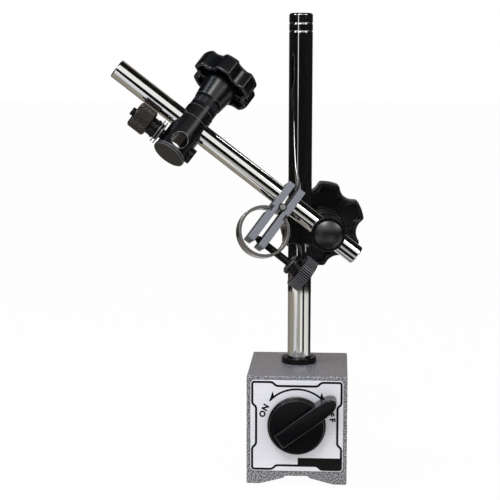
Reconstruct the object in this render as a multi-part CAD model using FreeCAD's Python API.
import FreeCAD, Part
import math
import os
from FreeCAD import Placement, Rotation, Vector

# Magnetic stand: a switchable magnetic base, an upright column, a swivel clamp,
# a fine-adjusted two-piece arm and a holder for an 8 mm stem.
# Millimetres and degrees. Origin at the centre of the base's underside, +Z up,
# nameplate facing -Y.

# Clearances
turn_clearance = 0.05        # radial, a shaft or pin that turns in its hole
slide_clearance = 0.05       # radial, a bar or column that slides in its hole
free_gap = 0.3               # between faces of pieces that move past each other

# Base
base_width = 50.0
base_depth = 60.0
base_height = 55.0
base_edge_radius = 0.8
foot_width = 6.0             # flat strip at each side of the underside
vee_rise = 3.2               # the underside slopes up by this towards the middle
recess_width = 13.2
recess_ceiling_width = 11.2
recess_depth = 4.3
separator_thickness = 6.0
magnet_rise = 3.0            # magnet axis above the middle of the base's height
magnet_height = base_height / 2 + magnet_rise
magnet_bore_radius = 17.0
front_disc_thickness = 4.0
rear_cover_thickness = 6.0

# Rotary magnet and switch
shaft_radius = 4.0
shaft_rear_depth = 3.0       # reach of the shaft into the rear cover
magnet_slab_thickness = 12.0
stop_plate_thickness = 3.0
stop_circle_radius = 11.0
stop_pin_radius = 1.5
stop_pin_reach = 2.4         # into the slot of the stop plate
stop_pin_play = 0.15
detent_ball_radius = 2.0
detent_ball_play = 0.1
detent_groove_depth = 0.7
detent_groove_play = 0.15
detent_spring_wall = 0.5
detent_spring_seat = 0.8     # share of the ball's radius where the spring starts
rear_cover_wall = 1.0        # left behind the stop pin and the detent's pocket
switch_travel = 110.0
switch_off_angle = 37.5      # pointer above the horizontal, towards +X
nameplate_thickness = 0.8
nameplate_corner = 2.0
nameplate_side_margin = 2.0
nameplate_top_margin = 2.0
nameplate_bottom_margin = 7.0
knob_radius = 14.5
knob_rim_thickness = 2.2
knob_step = 0.9
knob_thickness = 5.2
knob_edge = 0.6
knob_shaft_socket = 3.5      # depth of the shaft's end in the knob
pointer_width = 8.4
pointer_reach = 23.2
pointer_tail = 10.8
pointer_tail_corner = 1.5
pointer_height = 5.4
pointer_edge = 1.2
set_screw_radius = 1.5

# Column
column_radius = 6.0
column_setback = 5.0         # behind the middle of the base
column_length = 178.4        # above the base
column_spigot_radius = 4.0
column_spigot_floor = 1.2    # from the spigot's end to the magnet bore
column_spigot_length = base_height - magnet_height - magnet_bore_radius - column_spigot_floor
column_chamfer = 0.8
column_groove_places = (5.2, 9.2)
column_groove_width = 0.6
column_groove_depth = 0.35
collar_radius = 9.0
collar_height = 3.0
collar_edge = 0.5

# Column clamp
clamp_height = 124.6         # bolt axis above the feet
clamp_yaw = 4.4
bolt_offset = 12.8           # bolt axis beside the column axis
clamp_barrel_radius = 10.0
clamp_depth = 19.0
clamp_lug_height = 14.0
clamp_column_wall = 3.0
clamp_slit = 1.5
clamp_edge = 0.8

# Bar clamp on the bolt
bar_radius = 5.0
bar_edge = 0.5
arm_tilt = 38.0              # the arm falls towards its rear end
bar_reach = 19.8             # bar axis in front of the column axis
eye_radius = 7.0
eye_front = 8.3              # front of the eye's rim before the bar axis
eye_back = 7.8
eye_dome_height = 1.8
sleeve_radius = 8.5
sleeve_front = 7.0
bolt_radius = 4.0
washer_thickness = 1.5
washer_radius = 8.0

# Main star knob
main_knob_radius = 22.0
main_knob_valley = 18.2
main_knob_angle = 20.0
main_hub_radius = 8.0
main_hub_length = 8.0
main_disc_thickness = 12.0
lobe_count = 6
lobe_half_angle = 14.0
knob_wall = 2.0
knob_rib_thickness = 1.4
knob_pocket_depth = 3.8
knob_corner = 1.6
knob_crown = 1.2
insert_radius = 6.0
insert_length = 14.0
insert_floor = 1.5           # left behind the hole of an insert
shank_end_gap = 0.5          # between a shank's end and the floor of its hole

# Rear bar and fine adjuster
plates_from_bolt = 26.2
rear_bar_overhang = 18.6     # beyond the bolt axis
adjuster_twist = 18.0        # lower ends towards the front
plate_thickness = 3.6
plate_gap = 2.8
plate_depth = 12.5
plate_top = 7.6              # above the bar axis
plate_bottom = 27.6          # below the bar axis
spigot_radius = 3.5
spigot_length = 2.6
pin_radius = 2.0
pin_drop = 5.4               # pin axis below the bar axis
pin_overhang = 0.4
screw_drop = 18.8            # screw axis below the pin axis
spring_drop = 14.5           # spring centre below the pin axis
spring_radius = 12.2
spring_thickness = 1.5
spring_width = 7.5
spring_half_opening = 22.0
notch_depth = 1.5
notch_height = 3.0
notch_lead = 3.0             # degrees from the spring's end to the notch's middle
screw_radius = 2.0
pad_radius = 1.5
pad_length = 1.2
pad_edge = 0.4
pad_tip_gap = 0.05
pad_stem_radius = 0.8
pad_stem_length = 2.0
screw_collar_place = 19.3    # from the middle of the plates
screw_collar_radius = 5.2
screw_collar_thickness = 2.6
wheel_place = 24.7
wheel_radius = 8.6
wheel_thickness = 6.8
wheel_neck_radius = 4.2
wheel_edge = 0.5
screw_end = 1.0              # screw end beyond the wheel

# Front bar and stem holder
front_bar_end = 132.2        # free end from the bolt axis
holder_from_bolt = 86.4
holder_twist = 28.0          # upper end towards the back
head_radius = 8.25
head_end = 19.6              # cap end below the bar axis
head_top = 2.0               # parting line above the bar axis
cap_radius = 8.5
cap_thickness = 1.5
cap_edge = 0.5
web_radius = 6.5             # the eye goes on inside the sleeve with this radius
web_top = 7.6
holder_sleeve_radius = 7.3
holder_sleeve_top = 8.8
spacer_radius = 7.0
spacer_top = 15.4
holder_shank_radius = 4.0
holder_washer_thickness = 0.8
holder_washer_radius = 7.4
holder_hub_bottom = 7.5
holder_hub_top = 9.0
holder_hub_length = 10.5
holder_knob_radius = 16.6
holder_knob_valley = 13.8
holder_knob_angle = 15.0
holder_disc_thickness = 10.5
holder_insert_length = 13.0
stem_bore_radius = 4.05
stem_height = 12.9           # stem and thumb screw axes below the bar axis
boss_radius = 4.0
boss_reach = 10.2            # from the holder axis
boss_seat = 6.4
boss_edge = 0.4
thumb_shank_radius = 2.5
thumb_shank_end = 5.6        # tip of the shank from the holder axis
thumb_neck_radius = 4.6
thumb_neck_start = 12.2
thumb_head_start = 15.8
thumb_head_end = 25.4
thumb_head_radius = 7.0
thumb_edge = 0.6
nub_radius = 2.1
nub_length = 1.8
thumb_washer_radius = 6.3
thumb_washer_thickness = 0.6
thumb_washer_places = (9.2, 10.8)
stem_pad_radius = 2.0
stem_pad_tip = 4.8
stem_pad_stem_radius = 1.0
stem_pad_stem_length = 2.5

X_AXIS = Vector(1, 0, 0)
Y_AXIS = Vector(0, 1, 0)
Z_AXIS = Vector(0, 0, 1)
ORIGIN = Vector(0, 0, 0)


def rod(radius, start, end, axis, through=ORIGIN):
    """A cylinder along an axis, from start to end measured from the point."""
    return Part.makeCylinder(radius, end - start, through + axis * start, axis)


def turned(profile, axis, through=ORIGIN):
    """A lathe-turned solid. The profile lists (place along the axis, radius)."""
    side = X_AXIS if abs(axis.x) < 0.5 else Y_AXIS
    points = [through + axis * profile[0][0]]
    points += [through + axis * place + side * radius for place, radius in profile]
    points += [through + axis * profile[-1][0], points[0]]
    return Part.Face(Part.makePolygon(points)).revolve(through, axis, 360)


def block(x0, x1, y0, y1, z0, z1):
    """A box between two corners."""
    return Part.makeBox(x1 - x0, y1 - y0, z1 - z0, Vector(x0, y0, z0))


def ring(outer, inner, start, end, axis, through=ORIGIN):
    """A plain tube or washer."""
    return rod(outer, start, end, axis, through).cut(rod(inner, start, end, axis, through))


def chamfered(radius, start, end, edge):
    """The turned profile of a rod with both ends chamfered."""
    return [(start, radius - edge), (start + edge, radius),
            (end - edge, radius), (end, radius - edge)]


def polar(radius, degrees):
    """A point in the XY plane at a radius and an angle."""
    angle = math.radians(degrees)
    return Vector(radius * math.cos(angle), radius * math.sin(angle), 0)


def in_frame(frame, parts):
    """The parts moved from their own frame into the frame's place."""
    moved = {}
    for name, shape in parts.items():
        moved[name] = shape.copy()
        moved[name].Placement = frame.multiply(shape.Placement)
    return moved


def star_outline(tip_radius, valley_radius):
    """Closed outline of a star knob: round lobes with hollows between them."""
    pitch = 360.0 / lobe_count
    edges = []
    for lobe in range(lobe_count):
        middle = lobe * pitch
        start = polar(tip_radius, middle - lobe_half_angle)
        end = polar(tip_radius, middle + lobe_half_angle)
        following = polar(tip_radius, middle + pitch - lobe_half_angle)
        valley = polar(valley_radius, middle + pitch / 2)
        edges.append(Part.Arc(start, polar(tip_radius, middle), end).toShape())
        edges.append(Part.Arc(end, valley, following).toShape())
    return Part.Wire(edges)


def star_knob(tip_radius, valley_radius, hub_bottom, hub_top, hub_length, disc_thickness,
              insert_depth):
    """Disc and hub of a star knob on +Z: hub from z = 0, pocketed disc above it."""
    disc_end = hub_length + disc_thickness
    outline = star_outline(tip_radius, valley_radius)
    disc = Part.Face(outline).extrude(Z_AXIS * disc_thickness)
    disc.translate(Z_AXIS * hub_length)
    corners = [e for e in disc.Edges if abs(e.Length - disc_thickness) < 1e-6]
    disc = disc.makeFillet(knob_corner, corners)
    crown = [e for e in disc.Edges if e.BoundBox.ZMin > disc_end - 1e-6]
    disc = disc.makeFillet(knob_crown, crown)
    inner = outline.makeOffset2D(-knob_wall)
    pocket = Part.Face(inner).extrude(Z_AXIS * knob_pocket_depth)
    pocket.translate(Z_AXIS * hub_length)
    pocket = pocket.cut(rod(hub_top, hub_length, disc_end, Z_AXIS))
    for lobe in range(lobe_count):
        rib = block(0, tip_radius, -knob_rib_thickness / 2, knob_rib_thickness / 2,
                    hub_length, disc_end)
        rib.rotate(ORIGIN, Z_AXIS, (lobe + 0.5) * 360.0 / lobe_count)
        pocket = pocket.cut(rib)
    hole = rod(insert_radius, 0, insert_depth, Z_AXIS)
    hub = turned([(0, hub_bottom), (hub_length, hub_top)], Z_AXIS)
    return disc.cut(pocket).cut(hole), hub.cut(hole)


def knob_insert(depth, shank_radius):
    """Threaded insert of a star knob, drilled for the end of the shank."""
    insert = rod(insert_radius, 0, depth, Z_AXIS)
    return insert.cut(rod(shank_radius + turn_clearance, 0, depth - insert_floor, Z_AXIS))


def base_body():
    """The whole base block before it is divided, with its underside and bores."""
    half_width = base_width / 2
    half_depth = base_depth / 2
    body = block(-half_width, half_width, -half_depth, half_depth, 0, base_height)
    body = body.makeFillet(base_edge_radius, body.Edges)
    foot = half_width - foot_width
    under = [(-foot, -1), (-foot, 0), (-recess_width / 2, vee_rise),
             (-recess_ceiling_width / 2, recess_depth), (recess_ceiling_width / 2, recess_depth),
             (recess_width / 2, vee_rise), (foot, 0), (foot, -1), (-foot, -1)]
    corners = [Vector(x, -half_depth - 1, z) for x, z in under]
    hollow = Part.Face(Part.makePolygon(corners)).extrude(Y_AXIS * (base_depth + 2))
    body = body.cut(hollow)
    centre = Z_AXIS * magnet_height
    body = body.cut(rod(magnet_bore_radius, -half_depth, half_depth, Y_AXIS, centre))
    socket = rod(column_spigot_radius + turn_clearance,
                 base_height - column_spigot_length - free_gap, base_height, Z_AXIS,
                 Y_AXIS * column_setback)
    return body.cut(socket)


def base_block():
    """Two pole blocks with a separator above and below the magnet."""
    body = base_body()
    half_width = base_width / 2
    half_depth = base_depth / 2
    half = separator_thickness / 2
    return {
        "pole_block_left": body.common(
            block(-half_width, -half, -half_depth, half_depth, 0, base_height)),
        "pole_block_right": body.common(
            block(half, half_width, -half_depth, half_depth, 0, base_height)),
        "separator_upper": body.common(
            block(-half, half, -half_depth, half_depth, magnet_height, base_height)),
        "separator_lower": body.common(
            block(-half, half, -half_depth, half_depth, 0, magnet_height)),
    }


def base_closures():
    """Front disc, rear cover, nameplate, stop pin and detent."""
    half_depth = base_depth / 2
    centre = Z_AXIS * magnet_height
    front_disc = ring(magnet_bore_radius, shaft_radius + turn_clearance,
                      -half_depth, -half_depth + front_disc_thickness, Y_AXIS, centre)
    cover_front = half_depth - rear_cover_thickness
    rear_cover = rod(magnet_bore_radius, cover_front, half_depth, Y_AXIS, centre)
    rear_cover = rear_cover.cut(rod(shaft_radius + turn_clearance, cover_front,
                                    cover_front + shaft_rear_depth + free_gap, Y_AXIS, centre))
    pin_at = centre + Z_AXIS * stop_circle_radius
    ball_at = centre - Z_AXIS * stop_circle_radius
    pocket_end = half_depth - rear_cover_wall
    stop_pin = rod(stop_pin_radius, cover_front - stop_pin_reach, pocket_end, Y_AXIS, pin_at)
    rear_cover = rear_cover.cut(stop_pin)
    ball_y = (cover_front - free_gap + detent_ball_radius - detent_groove_depth
              + detent_ball_play)
    ball = Part.makeSphere(detent_ball_radius, ball_at + Y_AXIS * ball_y)
    spring_start = ball_y + detent_spring_seat * detent_ball_radius
    pocket_radius = detent_ball_radius + detent_ball_play
    spring = ring(detent_ball_radius, detent_ball_radius - detent_spring_wall,
                  spring_start, pocket_end, Y_AXIS, ball_at)
    spring = spring.cut(ball)
    rear_cover = rear_cover.cut(rod(pocket_radius, cover_front, pocket_end, Y_AXIS, ball_at))
    half_plate = base_width / 2 - nameplate_side_margin
    plate = block(-half_plate, half_plate, -half_depth - nameplate_thickness, -half_depth,
                  nameplate_bottom_margin, base_height - nameplate_top_margin)
    corners = [e for e in plate.Edges if abs(e.Length - nameplate_thickness) < 1e-6]
    plate = plate.makeFillet(nameplate_corner, corners)
    plate = plate.cut(rod(shaft_radius + free_gap, -half_depth - nameplate_thickness,
                          -half_depth, Y_AXIS, centre))
    return {"front_disc": front_disc, "rear_cover": rear_cover, "nameplate": plate,
            "stop_pin": stop_pin, "detent_ball": ball, "detent_spring": spring}


def arc_slot(width, start, end, low_angle, high_angle):
    """A curved slot about the magnet axis, as a solid to cut, along +Y."""
    centre = Z_AXIS * magnet_height
    inner = stop_circle_radius - width / 2
    section = Part.makePlane(end - start, width, centre + Vector(inner, end, 0), Z_AXIS,
                             Vector(0, -1, 0))
    slot = section.revolve(centre, -Y_AXIS, high_angle - low_angle)
    slot.rotate(centre, -Y_AXIS, low_angle)
    for angle in (low_angle, high_angle):
        tip = rod(width / 2, start, end, Y_AXIS, centre + X_AXIS * stop_circle_radius)
        tip.rotate(centre, -Y_AXIS, angle)
        slot = slot.fuse(tip)
    return slot


def magnet_rotor():
    """Magnet slab between two pole shoes on a shaft, with the stop plate behind."""
    centre = Z_AXIS * magnet_height
    front = -base_depth / 2 + front_disc_thickness + free_gap
    back = base_depth / 2 - rear_cover_thickness - free_gap
    magnet_back = back - stop_plate_thickness
    radius = magnet_bore_radius - free_gap
    drum = ring(radius, shaft_radius, front, magnet_back, Y_AXIS, centre)
    half = magnet_slab_thickness / 2
    reach = magnet_bore_radius
    slab = block(-reach, reach, front, magnet_back, magnet_height - half, magnet_height + half)
    upper = block(-reach, reach, front, magnet_back, magnet_height + half,
                  magnet_height + reach)
    lower = block(-reach, reach, front, magnet_back, magnet_height - reach,
                  magnet_height - half)
    plate = ring(radius - free_gap, shaft_radius, magnet_back, back, Y_AXIS, centre)
    slot_width = 2 * (stop_pin_radius + stop_pin_play)
    plate = plate.cut(arc_slot(slot_width, magnet_back, back, 90 - switch_travel, 90))
    groove_radius = detent_ball_radius + detent_groove_play
    groove_y = back + detent_ball_radius - detent_groove_depth
    groove_at = centre - Z_AXIS * stop_circle_radius + Y_AXIS * groove_y
    groove_section = Part.makeCircle(groove_radius, groove_at, X_AXIS)
    groove = Part.Face(Part.Wire([groove_section])).revolve(centre, -Y_AXIS, -switch_travel)
    plate = plate.cut(groove)
    for angle in (0, -switch_travel):
        end = Part.makeSphere(groove_radius, groove_at)
        end.rotate(centre, -Y_AXIS, angle)
        plate = plate.cut(end)
    shaft_back = base_depth / 2 - rear_cover_thickness + shaft_rear_depth
    shaft = rod(shaft_radius, knob_face() - knob_shaft_socket, shaft_back, Y_AXIS, centre)
    return {"magnet_block": drum.common(slab), "rotor_pole_left": drum.common(upper),
            "rotor_pole_right": drum.common(lower), "stop_plate": plate,
            "rotor_shaft": shaft}


def knob_face():
    """The y of the switch knob's back face, just off the nameplate."""
    return -base_depth / 2 - nameplate_thickness - free_gap


def switch_knob():
    """Round knob with a stepped rim and a raised pointer, fixed on the shaft."""
    centre = Z_AXIS * magnet_height
    back = -knob_face()
    profile = [(back, knob_radius), (back + knob_rim_thickness, knob_radius),
               (back + knob_rim_thickness, knob_radius - knob_step),
               (back + knob_thickness - knob_edge, knob_radius - knob_step),
               (back + knob_thickness, knob_radius - knob_step - knob_edge)]
    disc = turned(profile, -Y_AXIS, centre)
    half = pointer_width / 2
    flank = pointer_reach - half
    tail_low = Vector(-pointer_tail, 0, -half)
    tail_high = Vector(-pointer_tail, 0, half)
    outline = [Part.LineSegment(tail_low, Vector(flank, 0, -half)).toShape(),
               Part.Arc(Vector(flank, 0, -half), Vector(pointer_reach, 0, 0),
                        Vector(flank, 0, half)).toShape(),
               Part.LineSegment(Vector(flank, 0, half), tail_high).toShape(),
               Part.LineSegment(tail_high, tail_low).toShape()]
    pointer = Part.Face(Part.Wire(outline)).extrude(-Y_AXIS * (knob_thickness + pointer_height))
    corners = [e for e in pointer.Edges if e.BoundBox.XMax < -pointer_tail + 1e-6
               and e.BoundBox.YLength > knob_thickness]
    pointer = pointer.makeFillet(pointer_tail_corner, corners)
    pointer.translate(centre - Y_AXIS * back)
    top = back + knob_thickness + pointer_height
    rim = [e for e in pointer.Edges if e.BoundBox.YMax < -top + 1e-6]
    pointer = pointer.makeFillet(pointer_edge, rim)
    socket = rod(shaft_radius, knob_face() - knob_shaft_socket, knob_face(), Y_AXIS, centre)
    screw = rod(set_screw_radius, shaft_radius, knob_radius - knob_step, -X_AXIS,
                centre + Y_AXIS * (knob_face() - knob_shaft_socket / 2)).cut(socket)
    knob = disc.fuse(pointer).removeSplitter().cut(socket).cut(screw)
    for shape in (knob, screw):
        shape.rotate(centre, -Y_AXIS, switch_off_angle)
    return {"switch_knob": knob, "knob_set_screw": screw}


def column():
    """Chromed column with two grooves near its top, and the collar at its foot."""
    top = base_height + column_length
    profile = [(base_height - column_spigot_length, column_spigot_radius),
               (base_height, column_spigot_radius), (base_height, column_radius)]
    for place in sorted(column_groove_places, reverse=True):
        low = top - place - column_groove_width / 2
        high = top - place + column_groove_width / 2
        floor = column_radius - column_groove_depth
        profile += [(low, column_radius), (low, floor), (high, floor), (high, column_radius)]
    profile += [(top - column_chamfer, column_radius), (top, column_radius - column_chamfer)]
    at = Y_AXIS * column_setback
    collar_top = base_height + collar_height
    collar = turned([(base_height, collar_radius), (collar_top - collar_edge, collar_radius),
                     (collar_top, collar_radius - collar_edge)], Z_AXIS, at)
    collar = collar.cut(rod(column_radius, base_height, collar_top, Z_AXIS, at))
    return {"column": turned(profile, Z_AXIS, at), "column_collar": collar}


def column_clamp_block():
    """Split block: lug round the column, barrel round the bolt."""
    half_depth = clamp_depth / 2
    half_height = clamp_lug_height / 2
    bolt_at = X_AXIS * bolt_offset
    outer = column_radius + clamp_column_wall
    lug = rod(outer, -half_height, half_height, Z_AXIS)
    lug = lug.fuse(block(0, bolt_offset, -outer, outer, -half_height, half_height))
    barrel = turned(chamfered(clamp_barrel_radius, -half_depth, half_depth, clamp_edge),
                    Y_AXIS, bolt_at)
    body = lug.fuse(barrel)
    body = body.cut(rod(column_radius + slide_clearance, -base_height, base_height, Z_AXIS))
    body = body.cut(rod(bolt_radius + turn_clearance, -half_depth, half_depth, Y_AXIS, bolt_at))
    slit = block(0, bolt_offset + 2 * clamp_barrel_radius, -clamp_slit / 2, clamp_slit / 2,
                 -2 * clamp_barrel_radius, 2 * clamp_barrel_radius)
    return {"column_clamp_block": body.cut(slit).removeSplitter()}


def block_front():
    """The clamp block's front face, seen from the bar axis."""
    return bar_reach - clamp_depth / 2


def block_back():
    """The clamp block's back face, seen from the bar axis."""
    return bar_reach + clamp_depth / 2


def bar_clamp():
    """Eye bolt with a domed end in its sleeve, both crossed by the bar."""
    bore = rod(bar_radius + slide_clearance, -sleeve_radius - 1, sleeve_radius + 1, X_AXIS)
    hub_start = block_back() + washer_thickness
    shank_end = hub_start + insert_length - insert_floor - shank_end_gap
    dome_radius = (eye_radius ** 2 + eye_dome_height ** 2) / (2 * eye_dome_height)
    dome = Part.makeSphere(dome_radius, Y_AXIS * (dome_radius - eye_front - eye_dome_height))
    head = rod(eye_radius, -eye_front - eye_dome_height, -eye_front, Y_AXIS).common(dome)
    head = head.fuse(rod(eye_radius, -eye_front, eye_back, Y_AXIS))
    eye = head.fuse(rod(bolt_radius, 0, shank_end, Y_AXIS)).cut(bore).removeSplitter()
    sleeve = rod(sleeve_radius, -sleeve_front, block_front(), Y_AXIS)
    sleeve = sleeve.cut(rod(eye_radius, -sleeve_front, eye_back + free_gap, Y_AXIS))
    sleeve = sleeve.cut(rod(bolt_radius, 0, block_front(), Y_AXIS)).cut(bore)
    return {"bar_eye_bolt": eye, "bar_clamp_sleeve": sleeve}


def main_knob():
    """Star knob of the column clamp, on the bolt's end, with its thrust washer."""
    knob, hub = star_knob(main_knob_radius, main_knob_valley, main_hub_radius,
                          main_hub_radius, main_hub_length, main_disc_thickness,
                          insert_length)
    insert = knob_insert(insert_length, bolt_radius)
    washer = ring(washer_radius, bolt_radius + turn_clearance, -washer_thickness, 0, Z_AXIS)
    stand = Placement(Vector(bolt_offset, clamp_depth / 2 + washer_thickness, 0),
                      Rotation(X_AXIS, -90))
    turn = Placement(ORIGIN, Rotation(Z_AXIS, -main_knob_angle))
    return in_frame(stand.multiply(turn), {"main_star_knob": knob, "main_knob_hub": hub,
                                           "main_knob_insert": insert,
                                           "main_thrust_washer": washer})


def bar(start, end, spigot_at_start):
    """A round bar along X with a spigot on the end that enters its plate."""
    if spigot_at_start:
        profile = [(start - spigot_length, spigot_radius), (start, spigot_radius),
                   (start, bar_radius), (end - bar_edge, bar_radius), (end, bar_radius - bar_edge)]
    else:
        profile = [(start, bar_radius - bar_edge), (start + bar_edge, bar_radius),
                   (end, bar_radius), (end, spigot_radius), (end + spigot_length, spigot_radius)]
    return turned(profile, X_AXIS)


def plate_outer():
    """Outer face of each adjuster plate, from the middle of the gap."""
    return plate_gap / 2 + plate_thickness


def adjuster_plate(side, pin_play, screw_hole):
    """One plate of the adjuster on the side +1 (fixed) or -1 (moving)."""
    inner = plate_gap / 2
    outer = plate_outer()
    near, far = sorted((side * inner, side * outer))
    half_depth = plate_depth / 2
    plate = block(near, far, -half_depth, half_depth, -plate_bottom, plate_top)
    hole = rod(spigot_radius + turn_clearance, outer - spigot_length - free_gap, outer,
               X_AXIS * side)
    pin = rod(pin_radius + pin_play, -half_depth, half_depth, Y_AXIS, -Z_AXIS * pin_drop)
    notch_middle = pin_drop + spring_drop - spring_radius * math.cos(
        math.radians(spring_half_opening + notch_lead))
    notch_near, notch_far = sorted((side * (outer - notch_depth), side * outer))
    notch = block(notch_near, notch_far, -half_depth, half_depth,
                  -notch_middle - notch_height / 2, -notch_middle + notch_height / 2)
    plate = plate.cut(hole).cut(pin).cut(notch)
    if screw_hole:
        plate = plate.cut(rod(screw_radius + turn_clearance, near, far, X_AXIS, screw_axis()))
    return plate


def screw_axis():
    """A point on the adjusting screw's axis."""
    return -Z_AXIS * (pin_drop + screw_drop)


def bow_spring():
    """Open flat-band ring hooked on both plates, with a hole for the screw."""
    centre = -Z_AXIS * (pin_drop + spring_drop)
    band = ring(spring_radius + spring_thickness / 2, spring_radius - spring_thickness / 2,
                -spring_width / 2, spring_width / 2, Y_AXIS, centre)
    reach = 2 * spring_radius
    lean = reach * math.tan(math.radians(spring_half_opening))
    mouth = [centre, centre + Vector(-lean, 0, reach), centre + Vector(lean, 0, reach), centre]
    wedge = Part.Face(Part.makePolygon(mouth)).extrude(Y_AXIS * spring_width)
    wedge.translate(-Y_AXIS * spring_width / 2)
    passage = rod(screw_radius + free_gap, 0, reach, X_AXIS, screw_axis())
    return band.cut(wedge).cut(passage)


def adjuster_fixed():
    """Fixed plate with the fulcrum pin and the bow spring."""
    half = plate_depth / 2 + pin_overhang
    pin = rod(pin_radius, -half, half, Y_AXIS, -Z_AXIS * pin_drop)
    return {"fixed_plate": adjuster_plate(1, 0, True), "fulcrum_pin": pin,
            "bow_spring": bow_spring()}


def adjuster_moving():
    """Moving plate, which rocks on the fulcrum pin."""
    return {"moving_plate": adjuster_plate(-1, turn_clearance, False)}


def adjusting_screw():
    """Tip pad, screw, collar and wheel of the fine adjustment."""
    tip = -plate_gap / 2 + pad_tip_gap
    start = tip + pad_length
    at = screw_axis()
    pad = turned([(tip, pad_radius - pad_edge), (tip + pad_edge, pad_radius), (start, pad_radius),
                  (start, pad_stem_radius), (start + pad_stem_length, pad_stem_radius)],
                 X_AXIS, at)
    wheel_end = wheel_place + wheel_thickness
    screw = rod(screw_radius, start, wheel_end + screw_end, X_AXIS, at)
    screw = screw.cut(rod(pad_stem_radius + turn_clearance, start,
                          start + pad_stem_length + free_gap, X_AXIS, at))
    collar = ring(screw_collar_radius, screw_radius, screw_collar_place,
                  screw_collar_place + screw_collar_thickness, X_AXIS, at)
    neck_start = screw_collar_place + screw_collar_thickness
    profile = [(neck_start, wheel_neck_radius), (wheel_place, wheel_neck_radius)]
    profile += chamfered(wheel_radius, wheel_place, wheel_end, wheel_edge)
    wheel = turned(profile, X_AXIS, at).cut(rod(screw_radius, neck_start, wheel_end, X_AXIS, at))
    return {"screw_pad": pad, "adjusting_screw": screw, "screw_collar": collar,
            "adjusting_wheel": wheel}


def holder():
    """Stem head that is also the eye for the bar, with its sleeve and spacer."""
    stem_at = -Z_AXIS * stem_height
    shank_end = knob_seat() + holder_insert_length - insert_floor - shank_end_gap
    cap_top = -head_end + cap_thickness
    head = turned([(cap_top, head_radius), (head_top, head_radius), (head_top, web_radius),
                   (web_top, web_radius), (web_top, holder_shank_radius),
                   (shank_end, holder_shank_radius)], Z_AXIS)
    bore = rod(bar_radius + slide_clearance, -cap_radius - 1, cap_radius + 1, X_AXIS)
    stem_bore = rod(stem_bore_radius, -cap_radius - 1, cap_radius + 1, Y_AXIS, stem_at)
    screw_hole = rod(thumb_shank_radius + turn_clearance, 0, cap_radius + 1, -X_AXIS, stem_at)
    boss_hole = rod(boss_radius, boss_seat, cap_radius + 1, X_AXIS, stem_at)
    head = head.cut(bore).cut(stem_bore).cut(screw_hole).cut(boss_hole)
    cap = turned([(-head_end, cap_radius - cap_edge), (-head_end + cap_edge, cap_radius),
                  (cap_top, cap_radius)], Z_AXIS)
    boss = turned([(boss_seat, boss_radius), (boss_reach - boss_edge, boss_radius),
                   (boss_reach, boss_radius - boss_edge)], X_AXIS, stem_at)
    sleeve = rod(holder_sleeve_radius, head_top, holder_sleeve_top, Z_AXIS)
    sleeve = sleeve.cut(rod(web_radius, head_top, web_top + free_gap, Z_AXIS))
    sleeve = sleeve.cut(rod(holder_shank_radius, head_top, holder_sleeve_top, Z_AXIS)).cut(bore)
    spacer = ring(spacer_radius, holder_shank_radius, holder_sleeve_top, spacer_top, Z_AXIS)
    return {"holder_head": head, "head_cap": cap, "clamp_boss": boss,
            "holder_sleeve": sleeve, "ringed_spacer": spacer}


def knob_seat():
    """Where the holder knob's hub starts above the bar axis."""
    return spacer_top + holder_washer_thickness


def holder_knob():
    """Star knob of the stem holder, with its insert and washer."""
    knob, hub = star_knob(holder_knob_radius, holder_knob_valley, holder_hub_bottom,
                          holder_hub_top, holder_hub_length, holder_disc_thickness,
                          holder_insert_length)
    insert = knob_insert(holder_insert_length, holder_shank_radius)
    washer = ring(holder_washer_radius, holder_shank_radius + turn_clearance,
                  -holder_washer_thickness, 0, Z_AXIS)
    stand = Placement(Z_AXIS * knob_seat(), Rotation(Z_AXIS, holder_knob_angle))
    return in_frame(stand, {"holder_star_knob": knob, "holder_knob_hub": hub,
                            "holder_knob_insert": insert, "holder_thrust_washer": washer})


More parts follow.
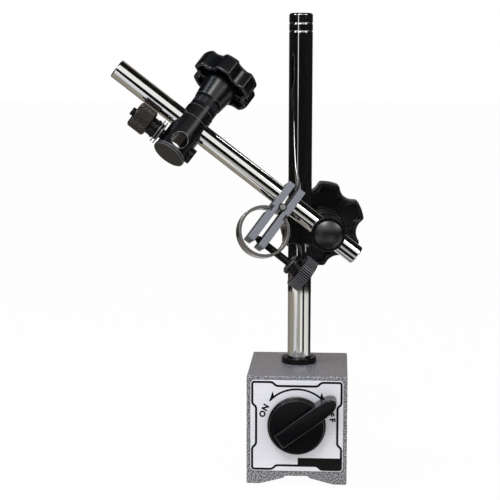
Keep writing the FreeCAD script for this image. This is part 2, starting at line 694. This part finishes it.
def thumb_screw():
    """Knurled thumb screw with its pad, nub and two loose washers."""
    at = -Z_AXIS * stem_height
    axis = -X_AXIS
    pad_start = thumb_shank_end
    pad = turned([(stem_pad_tip, stem_pad_radius), (pad_start, stem_pad_radius),
                  (pad_start, stem_pad_stem_radius),
                  (pad_start + stem_pad_stem_length, stem_pad_stem_radius)], axis, at)
    profile = [(pad_start, thumb_shank_radius), (thumb_neck_start, thumb_shank_radius),
               (thumb_neck_start, thumb_neck_radius), (thumb_head_start, thumb_neck_radius)]
    profile += chamfered(thumb_head_radius, thumb_head_start, thumb_head_end, thumb_edge)
    screw = turned(profile, axis, at)
    screw = screw.cut(rod(stem_pad_stem_radius + turn_clearance, pad_start,
                          pad_start + stem_pad_stem_length + free_gap, axis, at))
    nub = rod(nub_radius, thumb_head_end, thumb_head_end + nub_length, axis, at)
    parts = {"stem_pad": pad, "thumb_screw": screw, "thumb_nub": nub}
    for name, place in zip(("inner", "outer"), thumb_washer_places):
        parts["thumb_washer_" + name] = ring(thumb_washer_radius, thumb_shank_radius, place,
                                             place + thumb_washer_thickness, axis, at)
    return parts


# Frames of the sub-assemblies, each placed on the one that carries it
clamp_frame = Placement(Vector(0, column_setback, clamp_height), Rotation(Z_AXIS, clamp_yaw))
arm_frame = clamp_frame.multiply(
    Placement(Vector(bolt_offset, -bar_reach, 0), Rotation(Y_AXIS, arm_tilt)))
adjuster_frame = arm_frame.multiply(
    Placement(Vector(-plates_from_bolt, 0, 0), Rotation(X_AXIS, -adjuster_twist)))
holder_frame = arm_frame.multiply(
    Placement(Vector(-holder_from_bolt, 0, 0), Rotation(X_AXIS, -holder_twist)))

rear_bar = bar(-plates_from_bolt + plate_outer(), rear_bar_overhang, True)
front_bar = bar(-front_bar_end, -plates_from_bolt - plate_outer(), False)

parts = {}
parts.update(base_block())
parts.update(base_closures())
parts.update(magnet_rotor())
parts.update(switch_knob())
parts.update(column())
parts.update(in_frame(clamp_frame, column_clamp_block()))
parts.update(in_frame(clamp_frame, main_knob()))
parts.update(in_frame(arm_frame, bar_clamp()))
parts.update(in_frame(arm_frame, {"rear_bar": rear_bar, "front_bar": front_bar}))
parts.update(in_frame(adjuster_frame, adjuster_fixed()))
parts.update(in_frame(adjuster_frame, adjuster_moving()))
parts.update(in_frame(adjuster_frame, adjusting_screw()))
parts.update(in_frame(holder_frame, holder()))
parts.update(in_frame(holder_frame, holder_knob()))
parts.update(in_frame(holder_frame, thumb_screw()))

os.makedirs("parts", exist_ok=True)
for name, shape in parts.items():
    solid = shape.Solids[0] if len(shape.Solids) == 1 else shape
    print(name, len(shape.Solids), round(shape.Volume, 1), shape.isValid())
    solid.exportStep("parts/" + name + ".step")
